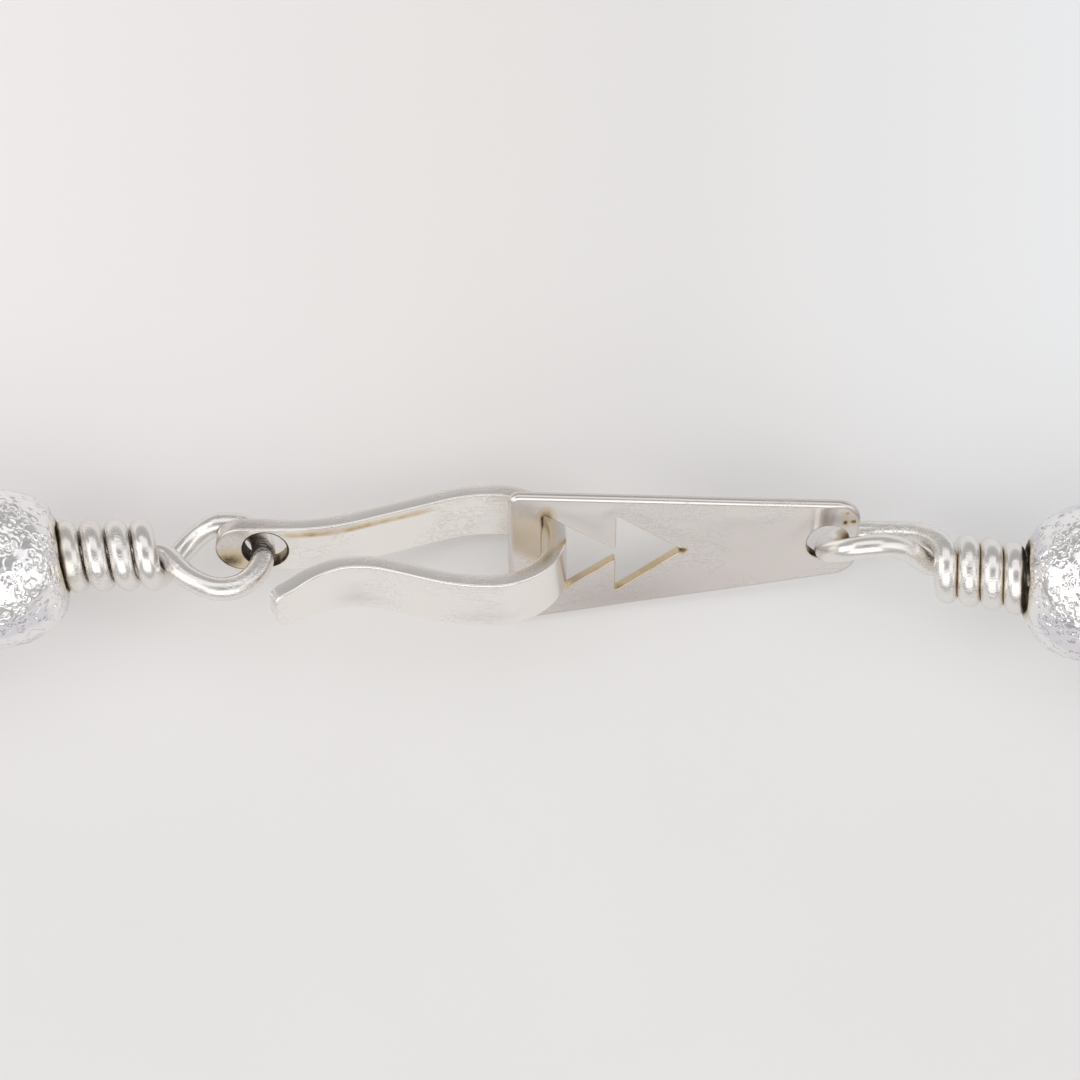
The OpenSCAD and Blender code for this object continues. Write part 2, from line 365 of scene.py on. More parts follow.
def scratch_group():
    """Fine scratches: noise stretched along one way and cut to thin lines, in two sets."""
    tree, given, out = new_group(
        "fine_scratches",
        [("Size", NUMBER, 900.0), ("Stretch", NUMBER, 14.0), ("Amount", NUMBER, 1.0)],
        [("Height", NUMBER), ("Mask", NUMBER)],
    )
    lines = None
    for turn in ((0.55, 0.1, 0.12), (0.7, -0.3, -0.5)):
        facing = place_node(tree, "ShaderNodeMapping", {
            "Vector": own_place(tree), "Rotation": turn})
        split = place_node(tree, "ShaderNodeSeparateXYZ", {0: facing.outputs[0]})
        along = calc(tree, "DIVIDE", split.outputs[0], given.outputs["Stretch"])
        squeezed = place_node(tree, "ShaderNodeCombineXYZ", {
            0: along, 1: split.outputs[1], 2: split.outputs[2]})
        streaks = noise(tree, given.outputs["Size"], 2.0, 0.7, place=squeezed.outputs[0])
        line = crossings(tree, streaks, 0.025)
        lines = line if lines is None else calc(tree, "MAXIMUM", lines, line)
    patch = remap(tree, noise(tree, 160.0, 2.0), 0.45, 0.65)
    kept = calc(tree, "MULTIPLY", lines, patch)
    kept = calc(tree, "MULTIPLY", kept, given.outputs["Amount"])
    tree.links.new(calc(tree, "SUBTRACT", 0.0, kept), out.inputs["Height"])
    tree.links.new(kept, out.inputs["Mask"])
    return tree


def pit_group():
    """Small round pits, from the distance to a cell's middle, in a smooth noise's lumps."""
    tree, given, out = new_group(
        "small_pits",
        [("Size", NUMBER, 1400.0), ("Share", NUMBER, 0.3), ("Lumps", NUMBER, 700.0)],
        [("Height", NUMBER), ("Mask", NUMBER)],
    )
    distance, chance = cells(tree, given.outputs["Size"])
    has_pit = calc(tree, "LESS_THAN", chance[0], given.outputs["Share"])
    pit = calc(tree, "MULTIPLY", has_pit, remap(tree, distance, 0.1, 0.45, 1.0, 0.0))
    lumps = noise(tree, given.outputs["Lumps"], 3.0, 0.55)
    tree.links.new(calc(tree, "SUBTRACT", lumps, pit), out.inputs["Height"])
    tree.links.new(pit, out.inputs["Mask"])
    return tree


def cast_group():
    """Marks left by heating the skin until it creeps: rings, small beads and worm lines.

    Rings and small beads come from the distance to a cell's middle, worm lines from where
    a noise passes its middle value.
    """
    tree, given, out = new_group(
        "crept_skin",
        [("Rings", NUMBER, 900.0), ("Share", NUMBER, 0.4), ("Worms", NUMBER, 700.0)],
        [("Height", NUMBER), ("Mask", NUMBER)],
    )
    distance, chance = cells(tree, given.outputs["Rings"])
    has_ring = calc(tree, "LESS_THAN", chance[0], given.outputs["Share"])
    ring = calc(tree, "MULTIPLY", has_ring, crossings(tree, distance, 0.13, middle=0.27))
    has_dot = calc(tree, "GREATER_THAN", chance[1], 0.72)
    dot = calc(tree, "MULTIPLY", has_dot, remap(tree, distance, 0.05, 0.24, 1.0, 0.0))
    worm = crossings(tree, noise(tree, given.outputs["Worms"], 1.5, distortion=0.8), 0.045)
    busy = remap(tree, noise(tree, 330.0, 1.0), 0.40, 0.58, 0.15, 1.0)
    worm = calc(tree, "MULTIPLY", worm, busy)
    sunk = calc(tree, "MAXIMUM", ring, worm)
    tree.links.new(calc(tree, "SUBTRACT", dot, sunk), out.inputs["Height"])
    tree.links.new(sunk, out.inputs["Mask"])
    return tree


def use_group(tree, group, **values):
    """Places a node group and gives its inputs their values."""
    return place_node(tree, "ShaderNodeGroup", values, node_tree=group)


def silver_material(name, silver, thin, thick, roughness, grain, bump, scratches, pits,
                    crept=None, dull=None):
    """Polished silver: a golden to brown film of tarnish and painted shade, fine scratches, small
    pits and crept marks.

    scratches is (size, stretch, amount), pits is (size, share, lumps, strength), crept is
    (rings, share, worms, strength), and bump is the strength of the whole relief. The last
    argument is the colour the bare metal turns to as its vertex shade of that name rises;
    on the beads it falls in random patches, on the clasp it is partly painted reflection and
    shade.
    """
    material = bpy.data.materials.new(name)
    material.use_nodes = True
    tree = material.node_tree
    shader = tree.nodes["Principled BSDF"]
    shader.inputs["Metallic"].default_value = 1.0
    shader.inputs["IOR"].default_value = 1.45
    # The vertex shade read here is part tarnish and part painted shade: darker near other parts,
    # in gaps and inside holes.
    shade = place_node(tree, "ShaderNodeAttribute", attribute_name="tarnish")
    bare = silver
    if dull:
        greyed = place_node(tree, "ShaderNodeAttribute", attribute_name="dull")
        bare = mix_colour(tree, greyed.outputs["Fac"], silver, dull)
    film = use_group(tree, TARNISH_AND_SHADE, Shade=shade.outputs["Fac"], Grain=grain, Silver=bare,
                     Thin=thin, Thick=thick)
    lines = use_group(tree, SCRATCHES, Size=scratches[0], Stretch=scratches[1],
                      Amount=scratches[2])
    pitted = use_group(tree, PITS, Size=pits[0], Share=pits[1], Lumps=pits[2])
    tree.links.new(film.outputs["Color"], shader.inputs["Base Color"])
    rough = calc(tree, "MULTIPLY", film.outputs["Mask"], FILM_ROUGHNESS)
    rough = calc(tree, "ADD", rough, roughness)
    scratched = calc(tree, "MULTIPLY", lines.outputs["Mask"], SCRATCH_ROUGHNESS)
    tree.links.new(calc(tree, "ADD", rough, scratched, clamp=True), shader.inputs["Roughness"])
    height = calc(tree, "ADD", lines.outputs["Height"],
                  calc(tree, "MULTIPLY", pitted.outputs["Height"], pits[3]))
    if crept:
        marks = use_group(tree, CREPT, Rings=crept[0], Share=crept[1], Worms=crept[2])
        height = calc(tree, "ADD", height,
                      calc(tree, "MULTIPLY", marks.outputs["Height"], crept[3]))
    relief = place_node(tree, "ShaderNodeBump", {
        "Height": height, "Strength": bump, "Distance": RELIEF_DEPTH * MM})
    tree.links.new(relief.outputs[0], shader.inputs["Normal"])
    return material


TARNISH_AND_SHADE = tarnish_group()
SCRATCHES = scratch_group()
PITS = pit_group()
CREPT = cast_group()

PALE_GOLDEN = (0.78, 0.70, 0.58, 1)
GOLDEN = (0.74, 0.61, 0.40, 1)
BROWN = (0.075, 0.055, 0.045, 1)

bead_silver = silver_material(
    "bead_silver", silver=(0.93, 0.92, 0.915, 1), thin=PALE_GOLDEN, thick=BROWN,
    roughness=0.13, grain=700.0, bump=0.9, scratches=(900.0, 3.0, 0.1),
    pits=(1500.0, 0.3, 1100.0, 0.5), crept=(1050.0, 0.5, 620.0, 1.6), dull=(0.80, 0.79, 0.83, 1))
clasp_silver = silver_material(
    "clasp_silver", silver=(0.97, 0.94, 0.905, 1), thin=GOLDEN, thick=BROWN,
    roughness=0.22, grain=500.0, bump=0.22, scratches=(1500.0, 22.0, 1.0),
    pits=(700.0, 0.05, 260.0, 0.8), dull=(0.62, 0.57, 0.55, 1))
wire_silver = silver_material(
    "wire_silver", silver=(0.86, 0.835, 0.805, 1), thin=GOLDEN, thick=BROWN,
    roughness=0.25, grain=900.0, bump=0.4, scratches=(1300.0, 6.0, 0.8),
    pits=(1900.0, 0.25, 500.0, 0.9))
chain_silver = silver_material(
    "chain_silver", silver=(0.85, 0.83, 0.80, 1), thin=GOLDEN, thick=BROWN,
    roughness=0.25, grain=900.0, bump=0.4, scratches=(1300.0, 6.0, 0.4),
    pits=(1500.0, 0.2, 900.0, 0.8))


# The clasp: two sheet blanks, one bent and one turned

def rounded_loop(corners, radii, step):
    """A closed loop through the corners, each turned by an arc of its own radius.

    An arc touches both sides at radius / tan(half the corner); straights are cut into steps.
    """
    corners = np.asarray(corners, float)
    to_last = unit(np.roll(corners, 1, 0) - corners)
    to_next = unit(np.roll(corners, -1, 0) - corners)
    half = np.arccos(np.clip((to_last * to_next).sum(1), -1, 1)) / 2
    radii = np.broadcast_to(np.asarray(radii, float), len(corners))
    starts = corners + to_last * (radii / np.tan(half))[:, None]
    ends = corners + to_next * (radii / np.tan(half))[:, None]
    centres = corners + unit(to_last + to_next) * (radii / np.sin(half))[:, None]
    parts = []
    for i, centre in enumerate(centres):
        a = math.atan2(*(starts[i] - centre)[::-1])
        b = math.atan2(*(ends[i] - centre)[::-1])
        sweep = (b - a + math.pi) % (2 * math.pi) - math.pi
        count = max(3, math.ceil(abs(sweep) / math.radians(9)))
        angles = a + sweep * np.linspace(0, 1, count + 1)
        parts.append(centre + radii[i] * np.stack([np.cos(angles), np.sin(angles)], 1))
        run = starts[(i + 1) % len(corners)] - ends[i]
        pieces = math.ceil(np.linalg.norm(run) / step)
        if np.linalg.norm(run) > 0.02:
            parts.append(ends[i] + run * (np.arange(1, pieces) / pieces)[:, None])
    loop = np.concatenate(parts)
    apart = np.linalg.norm(loop - np.roll(loop, 1, 0), axis=1) > 0.008
    return loop[apart]


def circle_loop(centre, radius, count):
    """A round hole's loop, clockwise, so the metal is on its left."""
    a = -2 * math.pi * np.arange(count) / count
    return np.asarray(centre) + radius * np.stack([np.cos(a), np.sin(a)], 1)


def inset(loop, distance):
    """The loop moved to its left, square to its sides, by the distance."""
    before, after = unit(loop - np.roll(loop, 1, 0)), unit(np.roll(loop, -1, 0) - loop)
    middle = unit(before + after)
    left = np.stack([-middle[:, 1], middle[:, 0]], 1)
    lean = np.clip((middle * after).sum(1), 0.6, 1)
    return loop + left * (distance / lean)[:, None]


def inside(points, loop):
    """Which points a loop encloses: those whose level line crosses it an odd number of times."""
    x, y = points[:, :1], points[:, 1:]
    ax, ay = loop[:, 0], loop[:, 1]
    bx, by = np.roll(ax, -1), np.roll(ay, -1)
    crosses = (ay > y) != (by > y)
    gap = np.where(by == ay, 1.0, by - ay)
    at = ax + (y - ay) * (bx - ax) / gap
    return (crosses & (x < at)).sum(1) % 2 == 1


def on_sheet(points, loops):
    """Which points lie inside the first loop and outside all the others."""
    kept = inside(points, loops[0])
    for hole in loops[1:]:
        kept &= ~inside(points, hole)
    return kept


def sheet_blank(loops, thickness, edges, spacing):
    """A flat sheet with rounded edges, as (s, v, h) points with quads, triangles and edge share.

    Round every loop runs one profile: a support line, a quarter round of the loop's own
    radius, the wall, a second quarter round and a support line. Both faces are filled with
    triangles between the support lines and a grid of inner points.
    """
    quarter = np.radians([90, 67, 45, 22, 0])
    points, quads, shares, tops, bottoms, flats, count = [], [], [], [], [], [], 0
    for loop, edge in zip(loops, edges):
        turn = [(edge * (1 - math.cos(a)), thickness / 2 - edge * (1 - math.sin(a)))
                for a in quarter]
        profile = [(edge + SUPPORT, thickness / 2)] + turn + [(d, -h) for d, h in turn[::-1]]
        profile.append((edge + SUPPORT, -thickness / 2))
        rings = [np.column_stack([inset(loop, d), np.full(len(loop), h)]) for d, h in profile]
        points.append(np.concatenate(rings))
        quads.append(count + grid_faces(len(profile), len(loop), wrap_columns=True)[:, ::-1])
        share = np.repeat([0.0, 0.3] + [1.0] * (len(profile) - 4) + [0.3, 0.0], len(loop))
        shares.append(share)
        tops.append(count + np.arange(len(loop)))
        bottoms.append(count + (len(profile) - 1) * len(loop) + np.arange(len(loop)))
        flats.append(inset(loop, edge + SUPPORT))
        count += len(profile) * len(loop)
    low, high = flats[0].min(0), flats[0].max(0)
    s, v = np.meshgrid(np.arange(low[0], high[0], spacing), np.arange(low[1], high[1], spacing),
                       indexing="ij")
    s = s + (np.arange(v.shape[1]) % 2) * spacing / 2
    inner = np.column_stack([s.ravel(), v.ravel()])
    inner = inner[on_sheet(inner, flats)]
    inner = inner[nearest(inner, np.concatenate(flats)) > spacing * 0.45]
    flat_points = np.concatenate(flats + [inner])
    borders, first = [], 0
    for flat in flats:
        here = first + np.arange(len(flat))
        borders += np.column_stack([here, np.roll(here, -1)]).tolist()
        first += len(flat)
    filled = delaunay_2d_cdt([Vector(p) for p in flat_points.tolist()], borders, [], 0, 1e-6)
    strays = [i for i, ids in enumerate(filled[3]) if not ids]
    if strays:
        raise ValueError(f"the sheet's loops cross at {[tuple(filled[0][i]) for i in strays[:4]]}")
    source = np.array([ids[0] for ids in filled[3]])
    triangles = source[np.array(filled[2])]
    corners = flat_points[triangles]
    a, b = corners[:, 1] - corners[:, 0], corners[:, 2] - corners[:, 0]
    area = np.abs(a[:, 0] * b[:, 1] - a[:, 1] * b[:, 0]) / 2
    triangles = triangles[on_sheet(corners.mean(1), flats) & (area > LEAST_AREA)]
    top_ids = np.concatenate(tops + [count + np.arange(len(inner))])
    bottom_ids = np.concatenate(bottoms + [count + len(inner) + np.arange(len(inner))])
    for h in (thickness / 2, -thickness / 2):
        points.append(np.column_stack([inner, np.full(len(inner), h)]))
        shares.append(np.zeros(len(inner)))
    both = np.concatenate([top_ids[triangles], bottom_ids[triangles][:, ::-1]])
    return np.concatenate(points), np.concatenate(quads), both, np.concatenate(shares)


def away_from_edges(s, v, loops):
    """0 at a sheet's edges and 1 further in, over 1.3 mm."""
    return smooth(nearest(np.column_stack([s, v]), np.concatenate(loops)), 0.3, 1.6)


def ripple(s, v, seed, size, depth):
    """Low unevenness of worked metal: a sum of twelve seeded sine waves over the sheet."""
    random = np.random.default_rng(seed)
    total = np.zeros_like(s)
    for angle, phase, stretch in random.random((12, 3)):
        a, reach = angle * math.pi, size * (0.6 + 0.9 * stretch)
        total += np.sin((s * math.cos(a) + v * math.sin(a)) * 2 * math.pi / reach
                        + phase * 2 * math.pi)
    return depth * total / 3.5


def worn_face(s, v, h, loops, seed, waves):
    """The heights h with two ripples added and a small drop, all fading out at the edges."""
    lift = sum(ripple(s, v, seed + i, *wave) for i, wave in enumerate(waves)) - FACE_DROP
    return h + lift * np.sign(h) * away_from_edges(s, v, loops)


STRAP_KNOTS, STRAP_TURNS = np.cumsum([(0, 0)] + STRAP_BENDS, axis=0).T
STRAP_LENGTH = STRAP_KNOTS[-1]
STRAP_S = np.linspace(0, STRAP_LENGTH, 6001)


def strap_line(s):
    """Place and heading of the strap's middle line at the distance s from the tongue's end.

    The heading turns evenly along each bend, and the place is the running sum of its steps.
    """
    heading = np.radians(np.interp(STRAP_S, STRAP_KNOTS, STRAP_TURNS))
    step = STRAP_S[1] - STRAP_S[0]
    middle = (heading[1:] + heading[:-1]) / 2
    x = STRAP_START[0] + np.concatenate([[0], np.cumsum(np.cos(middle)) * step])
    y = STRAP_START[1] + np.concatenate([[0], np.cumsum(np.sin(middle)) * step])
    return np.interp(s, STRAP_S, x), np.interp(s, STRAP_S, y), np.interp(s, STRAP_S, heading)


def hook_points():
    """The hook: a strap blank bent along the strap's line, with a worn, uneven face."""
    front = np.linspace(STRAP_LENGTH / 2, STRAP_LENGTH, 800)
    front_x = strap_line(front)[0]
    taper_s = float(front[np.argmax(front_x < TAPER_X)])
    half, tip = STRAP_W / 2, TIP_W / 2
    outline = rounded_loop(
        [(0, -half), (taper_s, -half), (STRAP_LENGTH, -tip), (STRAP_LENGTH, tip),
         (taper_s, half), (0, half)],
        HOOK_CORNERS, SHEET_STEP)
    loops = [outline, circle_loop((TONGUE_HOLE_S, 0), TONGUE_HOLE_R, 56)]
    flat, quads, triangles, edge = sheet_blank(loops, STRAP_T, HOOK_EDGES, SHEET_STEP)
    s, v, h = flat.T
    x, y, heading = strap_line(s)
    h = worn_face(s, v, h, loops, HOOK_SEED, HOOK_WAVES)
    bent = np.column_stack([x - h * np.sin(heading), y + h * np.cos(heading), v])
    return leaned(bent), quads, triangles, (s, v, h, edge)


def plate_points():
    """The catch plate: a pierced, tapered blank turned about the line through its crossbar."""
    end = PLATE_START + PLATE_L
    outline = rounded_loop(
        [(PLATE_START, -PLATE_W / 2), (end, -PLATE_EYE_W / 2), (end, PLATE_EYE_W / 2),
         (PLATE_START, PLATE_W / 2)], PLATE_CORNERS, SHEET_STEP)
    corners = PIERCED + [(s, -v) for s, v in PIERCED[::-1]]
    pierced = rounded_loop(corners, PIERCED_CORNERS, PIERCED_STEP)
    loops = [outline, pierced, circle_loop((PLATE_EYE_X, PLATE_EYE_V), PLATE_EYE_R, 64)]
    flat, quads, triangles, edge = sheet_blank(loops, PLATE_T, PLATE_EDGES, SHEET_STEP)
    s, v, h = flat.T
    h = worn_face(s, v, h, loops, PLATE_SEED, PLATE_WAVES)
    h = h - PLATE_DISH * (v / 5) ** 2 * (1 - smooth(s, 8, 18))
    a = math.radians(PLATE_TURN)
    along = s - PLATE_TURN_X
    turned = np.column_stack([
        PLATE_TURN_X + along * math.cos(a) + h * math.sin(a),
        along * math.sin(a) - h * math.cos(a), v])
    return leaned(turned), quads, triangles, (s, v, edge)


# Wire links

def carried_frames(path):
    """Two side ways at each point of a path, carried along it with no twist.

    Each side way is the last one with its part along the new direction taken out.
    """
    ahead = unit(np.gradient(path, axis=0))
    side = np.array([0.1, 0.2, 1.0])
    sides = []
    for direction in ahead:
        side = unit(side - (side @ direction) * direction)
        sides.append(side)
    sides = np.array(sides)
    return sides, np.cross(ahead, sides)


def swept(path, radius, sides):
    """A bar along a path, closed by a small bevel and a flat at each end.

    radius is a function of (distance along, angle round), given as arrays.
    """
    across, up = carried_frames(path)
    along = length_along(path)
    angle = 2 * math.pi * np.arange(sides) / sides
    r = radius(along[:, None], angle[None, :])[..., None]
    rings = path[:, None] + r * (np.cos(angle)[None, :, None] * across[:, None]
                                 + np.sin(angle)[None, :, None] * up[:, None])
    ahead = unit(np.gradient(path, axis=0))
    poles = np.array([path[0] - ahead[0] * END_REACH, path[-1] + ahead[-1] * END_REACH])
    first = poles[0] + (rings[0] - path[0]) * END_SHARE
    last = poles[1] + (rings[-1] - path[-1]) * END_SHARE
    layers = np.concatenate([[first], rings, [last]])
    count = len(layers)
    points = np.concatenate([layers.reshape(-1, 3), poles])
    around = np.arange(sides)
    fans = [
        np.column_stack([np.full(sides, count * sides), np.roll(around, -1), around]),
        np.column_stack([np.full(sides, count * sides + 1), (count - 1) * sides + around,
                         (count - 1) * sides + np.roll(around, -1)]),
    ]
    return points, grid_faces(count, sides, wrap_columns=True), np.concatenate(fans), along


def link_path(bight, wrap_end, roll, twist, core_run, pitch, turns):
    """The middle line of a link's wire: its core, eye, blend and wraps.

    Each point is worked out as (along the axis, distance from it, angle round it). The eye
    is 1 + cos u along and sin u times the root of sin(u/2) across, the wraps are a screw
    round the core, and a cubic joins one part to the next.
    """
    bight, wrap_end = np.array(bight), np.array(wrap_end)
    axis = unit(wrap_end - bight)
    back = unit(np.array([0, 1.0, 0]) - axis[1] * axis)
    third = np.cross(axis, back)
    reach = np.linalg.norm(wrap_end - bight)

    def place(rows):
        along, out, angle = np.asarray(rows, float).T[:, :, None]
        a = np.radians(roll + angle)
        return bight + along * axis + out * (np.cos(a) * back + np.sin(a) * third)

    def eye(u):
        a = np.radians(u)
        out = -(EYE_W / 2 + EYE_LEAN * np.sin(a)) / EYE_WIDEST * np.sin(a)
        return np.stack([EYE_L / 2 * (1 + np.cos(a)), out * np.sqrt(np.abs(np.sin(a / 2))),
                         twist * (u - 180)], -1)

    def wrap(t):
        return np.stack([reach - pitch * (turns[1] - t) / 360,
                         np.full(np.shape(t), 2 * WIRE_R + WRAP_CLEAR), t], -1)

    def cubic(start, leave, stop, arrive, count):
        t = np.linspace(0, 1, count + 1)[:-1, None]
        return (start * (2 * t ** 3 - 3 * t ** 2 + 1) + leave * (t ** 3 - 2 * t ** 2 + t)
                + stop * (3 * t ** 2 - 2 * t ** 3) + arrive * (t ** 3 - t ** 2))

    first, last, wound = eye(EYE_TURNS[0]), eye(EYE_TURNS[1]), wrap(turns[0])
    core_end = np.array([EYE_L + core_run, 0, first[2]])
    eye_in, eye_out = eye(EYE_TURNS[0] + 1) - first, last - eye(EYE_TURNS[1] - 1)
    pull_in = np.linalg.norm(first - core_end)
    pull_out = 0.8 * (wound[0] - last[0])
    core = np.zeros((CORE_STEPS, 3))
    core[:, 0] = np.linspace(reach + CORE_REACH, core_end[0], CORE_STEPS + 1)[:-1]
    rows = [
        core,
        cubic(core_end, np.array([-pull_in, 0, 0]), first,
              pull_in * eye_in / np.hypot(*eye_in[:2]), BEND_STEPS),
        eye(np.linspace(*EYE_TURNS, EYE_STEPS + 1)[:-1]),
        cubic(last, pull_out * eye_out / np.hypot(*eye_out[:2]), wound,
              np.array([pitch / 360, 0, 1]) * BLEND_RATE, BLEND_STEPS),
        wrap(np.arange(turns[0], turns[1] + WRAP_OVERRUN + 1, WRAP_STEP)),
    ]
    return place(np.concatenate(rows)) + SHIFT


def far_strands(points, own, path, along):
    """Clearance from each point to the same wire's strands before and after its own."""
    gap = np.linalg.norm(points[:, None] - path[None], axis=-1)
    gap[np.abs(own[:, None] - along[None]) < OWN_REACH] = np.inf
    return gap.min(1) - WIRE_R


def link_points(side, seed):
    """One wire link, and each point's clearance from the same wire's other strands."""
    path = link_path(**LINKS[side])
    random = np.random.default_rng(seed)
    phases = random.random(4) * 2 * math.pi

    def radius(along, angle):
        sway = (np.sin(along * 1.3 + phases[0]) + np.sin(along * 2.9 + angle + phases[1])
                + np.sin(along * 0.7 + 2 * angle + phases[2]))
        return WIRE_R + SWELL[side] + 0.006 * sway

    points, quads, triangles, along = swept(path, radius, WIRE_SIDES)
    layers = np.concatenate([along[:1], along, along[-1:]])
    own = np.concatenate([np.repeat(layers, WIRE_SIDES), along[[0, -1]]])
    return points, quads, triangles, far_strands(points, own, path, along)


# Beads and chain

def bead_layout():
    """Centre and hole way of every bead, from the hook round to the plate.

    Each side is a run of equal steps; its heading turns by one amount at each of the first
    gaps and by another at the rest, and the whole loop is turned a little.
    """
    k = np.arange(BEAD_COUNT // 2)
    heading = np.radians(FIRST_HEADING + NEAR_TURN * np.minimum(k, NEAR_GAPS)
                         + (HALF_TURN / NEAR_GAPS - NEAR_TURN) * np.maximum(0, k - NEAR_GAPS))
    steps = BEAD_PITCH * np.column_stack([np.cos(heading), -np.sin(heading)])
    right = np.array(FIRST_BEAD) + np.concatenate([[[0, 0]], np.cumsum(steps, 0)[:-1]])
    left = right * [-1, 1]
    flat = np.concatenate([left, right[::-1]])
    a = math.radians(LOOP_SLEW)
    x = flat[:, 0] * math.cos(a) - flat[:, 1] * math.sin(a) + LOOP_MIDDLE_X
    y = flat[:, 0] * math.sin(a) + flat[:, 1] * math.cos(a)
    centres = np.column_stack([x, y, np.full(BEAD_COUNT, BEAD_R)]) + SHIFT
    ways = np.empty_like(centres)
    ways[1:-1] = unit(centres[:-2] - centres[2:])
    ways[0] = way(*LEFT_HOLE_WAY)
    ways[-1] = way(*RIGHT_HOLE_WAY)
    return centres, ways


# Marks with a kind below the first share are round pits, those below the second are rings
PIT_KINDS = 0.3
RING_KINDS = 0.6


def bead_relief(directions, seed, count, sizes, depth):
    """How far the bead's skin stands out, in millimetres, for each direction from its centre.

    Three kinds of seeded marks are added up: round pits, ring grooves and C-shaped grooves,
    each a bell curve of the distance over the skin, on a low rolling surface.
    """
    random = np.random.default_rng(seed)
    skin = np.zeros(len(directions))
    for axis in unit(random.normal(size=(7, 3))):
        reach = 1.6 + 2.4 * random.random()
        skin += 0.008 * np.sin(directions @ axis * BEAD_R * 2 * math.pi / reach
                               + random.random() * 6.3)
    seats = unit(random.normal(size=(count, 3)))
    kinds = random.random(count)
    grow = sizes[0] + (sizes[1] - sizes[0]) * random.random(count) ** 1.5
    turns = random.random(count) * 2 * math.pi
    strength = depth * (0.5 + random.random(count))
    for seat, kind, size, turn, deep in zip(seats, kinds, grow, turns, strength):
        near = directions @ seat > math.cos(3.2 * size / BEAD_R)
        here = directions[near]
        east = unit(np.cross(seat, [0.31, 0.2, 0.93]))
        north = np.cross(seat, east)
        x, y = here @ east * BEAD_R, here @ north * BEAD_R
        d = np.hypot(x, y)
        rim = 0.35 * bell(d - 1.35 * size, 0.35 * size)
        if kind < PIT_KINDS:
            mark = rim - bell(d, size)
        elif kind < RING_KINDS:
            mark = rim - bell(d - 0.75 * size, 0.28 * size)
        else:
            closed_side = 0.5 + 0.5 * np.tanh(3 * np.cos(np.arctan2(y, x) - turn) + 1.2)
            mark = -closed_side * bell(d - size, 0.3 * size)
        skin[near] += deep * mark
    return skin


def grey_patches(directions, seed):
    """0 to 1 in soft patches over a bead: where a sum of nine seeded sine waves is high."""
    random = np.random.default_rng(seed)
    total = np.zeros(len(directions))
    for axis in unit(random.normal(size=(9, 3))):
        total += np.sin(directions @ axis * (5 + 7 * random.random()) + random.random() * 6.3)
    return smooth(total, 0.2, 2.6)


def bead_points(centre, axis, top_r, worn_back, dimple, rows, columns, marks, seed):
    """A hollow bead: a closed profile turned about the bead's hole.

    The profile runs down the outer skin, round the lower hole's rim, up the inner wall and
    round the upper rim. In (radius, polar angle) a rim is a half circle of half the wall.
    The upper hole is oval: its rim stands further back, by worn_back radians, toward +Z,
    and the wall round it is pressed in by the dimple, fading over 1.5 mm.
    """
    middle, lip = BEAD_R - BEAD_WALL / 2, BEAD_WALL / 2
    round_ = 2 * math.pi * np.arange(columns) / columns
    east = unit(np.cross(axis, [0, 0, 1]))
    north = np.cross(east, axis)
    toward_up = np.clip(np.sin(round_), 0, 1)
    uneven = 0.012 * np.sin(3 * round_ + seed) + 0.008 * np.sin(7 * round_ + 2 * seed)
    top = math.asin((top_r + lip) / middle) + worn_back * toward_up ** 1.5 + uneven
    bottom = math.pi - math.asin((HOLE_R + lip) / middle)
    rim = np.linspace(0, math.pi, 8)[1:-1, None]
    inner_rows = max(12, rows // 6)
    down = np.linspace(0, 1, rows)[:, None]
    inward = np.linspace(0, 1, inner_rows)[:, None]
    parts = [
        (np.full((rows, 1), BEAD_R), top + (bottom - top) * down),
        (middle + lip * np.cos(rim), bottom + lip / middle * np.sin(rim) + 0 * top),
        (np.full((inner_rows, 1), BEAD_R - BEAD_WALL), bottom + (top - bottom) * inward),
        (middle - lip * np.cos(rim), top - lip / middle * np.sin(rim)),
    ]
    polar = np.concatenate([part[1] for part in parts])
    radius = np.concatenate([part[0] + 0 * part[1] for part in parts])
    radius = radius - dimple * (1 - smooth((polar - top) * BEAD_R, -0.3, 1.5))
    skin = np.zeros_like(polar)
    skin[:rows] = 1
    ring = np.cos(round_)[:, None] * east + np.sin(round_)[:, None] * north
    ways = np.cos(polar)[..., None] * axis + np.sin(polar)[..., None] * ring
    rim_gap = np.minimum(polar - top, bottom - polar) * BEAD_R
    radius, rim_gap, skin = radius.ravel(), rim_gap.ravel(), skin.ravel()
    ways = ways.reshape(-1, 3)
    relief = bead_relief(ways[skin > 0], seed, *marks)
    high = np.percentile(relief, 99.9)
    lift = np.zeros(len(radius))
    lift[skin > 0] = np.minimum(relief - high, 0)
    lift *= smooth(rim_gap, -0.1, 0.5) * 0.85 + 0.15
    points = centre + ways * (radius + lift)[:, None]
    return points, grid_faces(len(polar), columns, True, True), rim_gap, lift, skin, ways


